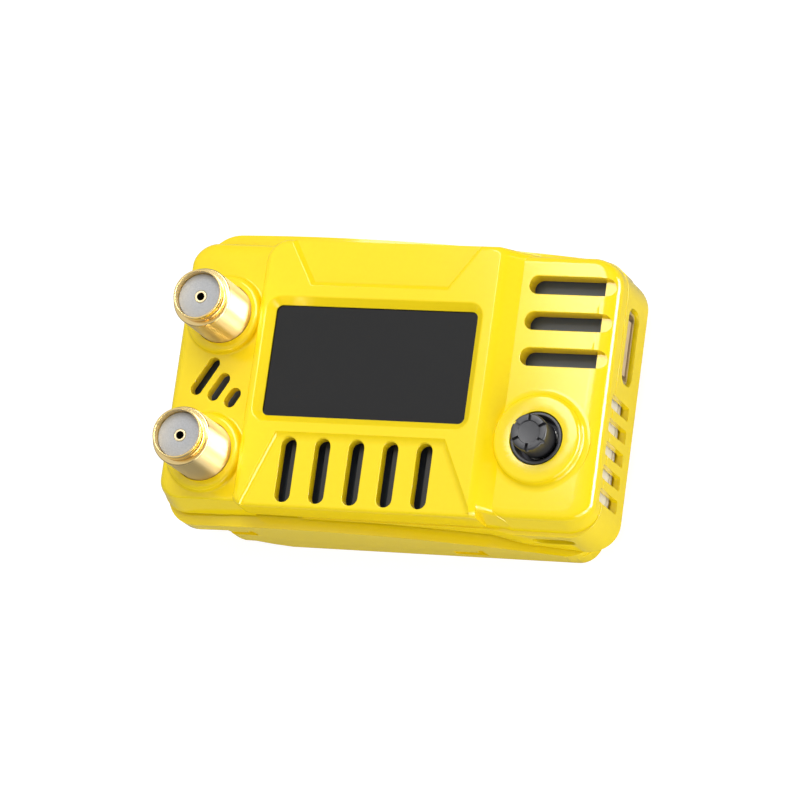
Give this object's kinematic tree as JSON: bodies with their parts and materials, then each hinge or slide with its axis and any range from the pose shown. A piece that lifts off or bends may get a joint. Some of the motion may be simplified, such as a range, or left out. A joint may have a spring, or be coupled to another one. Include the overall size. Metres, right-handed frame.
{
  "type": "video receiver module",
  "caption": "Plug-in radio video receiver module: flat moulded case with a display window, coaxial antenna jacks, a five-way joystick, cooling slots and a data port.",
  "frame": {"origin": "middle of the outline on the flat rear face, which enters the bay", "axes": "+X to the right along the front, +Y up the display, +Z out of the front; the module lies on its back"},
  "size_m": [0.0486, 0.0318, 0.0198],
  "materials": {
    "case_yellow": "glossy moulded",
    "window_dark": "smooth",
    "gold_plate": "polished gold plate",
    "insulator": "fine matt",
    "dark_plastic": "satin",
    "black_plastic": "satin",
    "white_plastic": "satin",
    "black_foam": "matt foam",
    "flex_film": "satin film",
    "board_dark": "solder mask",
    "board_white": "solder mask",
    "sheet_steel": "plated sheet",
    "screw_steel": "black zinc"
  },
  "bodies": {
    "case": {"bay_socket_five": "black_plastic", "bay_socket_nine": "black_plastic", "board_link_header": "white_plastic", "case_screw_1": "screw_steel", "case_screw_2": "screw_steel", "case_screw_3": "screw_steel", "case_screw_4": "screw_steel", "controller_chip": "black_plastic", "display_connector": "white_plastic", "display_cushion": "black_foam", "display_flex": "flex_film", "display_panel": "black_plastic", "display_window": "window_dark", "front_board": "board_dark", "front_shell": "case_yellow", "joystick_base": "black_plastic", "joystick_collar": "dark_plastic", "joystick_cover": "black_plastic", "joystick_snap_dome": "sheet_steel", "rear_board": "board_white", "rear_shell": "case_yellow", "receiver_can_lower": "sheet_steel", "receiver_can_upper": "sheet_steel", "sma_body_lower": "gold_plate", "sma_body_upper": "gold_plate", "sma_contact_lower": "gold_plate", "sma_contact_upper": "gold_plate", "sma_insulator_lower": "insulator", "sma_insulator_upper": "insulator", "usb_shell": "sheet_steel", "usb_tongue": "insulator", "vent_screen": "dark_plastic"},
    "press_carrier": {"joystick_carrier": "white_plastic"},
    "gimbal": {"joystick_gimbal_ring": "sheet_steel"},
    "stick": {"joystick_stem": "sheet_steel", "joystick_knob": "dark_plastic"}
  },
  "joints": [
    {"name": "joystick_press", "type": "slide", "parent": "case", "child": "press_carrier", "axis": [0, 0, -1], "range_m": [0, 0.00025], "stiffness_N_per_m": 6000},
    {"name": "joystick_tilt_x", "type": "hinge", "parent": "press_carrier", "child": "gimbal", "pos_m": [0.0177, -0.00588, 0.00992], "axis": [1, 0, 0], "range_deg": [-5, 5], "stiffness_Nm_per_rad": 0.05},
    {"name": "joystick_tilt_y", "type": "hinge", "parent": "gimbal", "child": "stick", "pos_m": [0.0177, -0.00588, 0.00992], "axis": [0, 1, 0], "range_deg": [-5, 5], "stiffness_Nm_per_rad": 0.05}
  ]
}
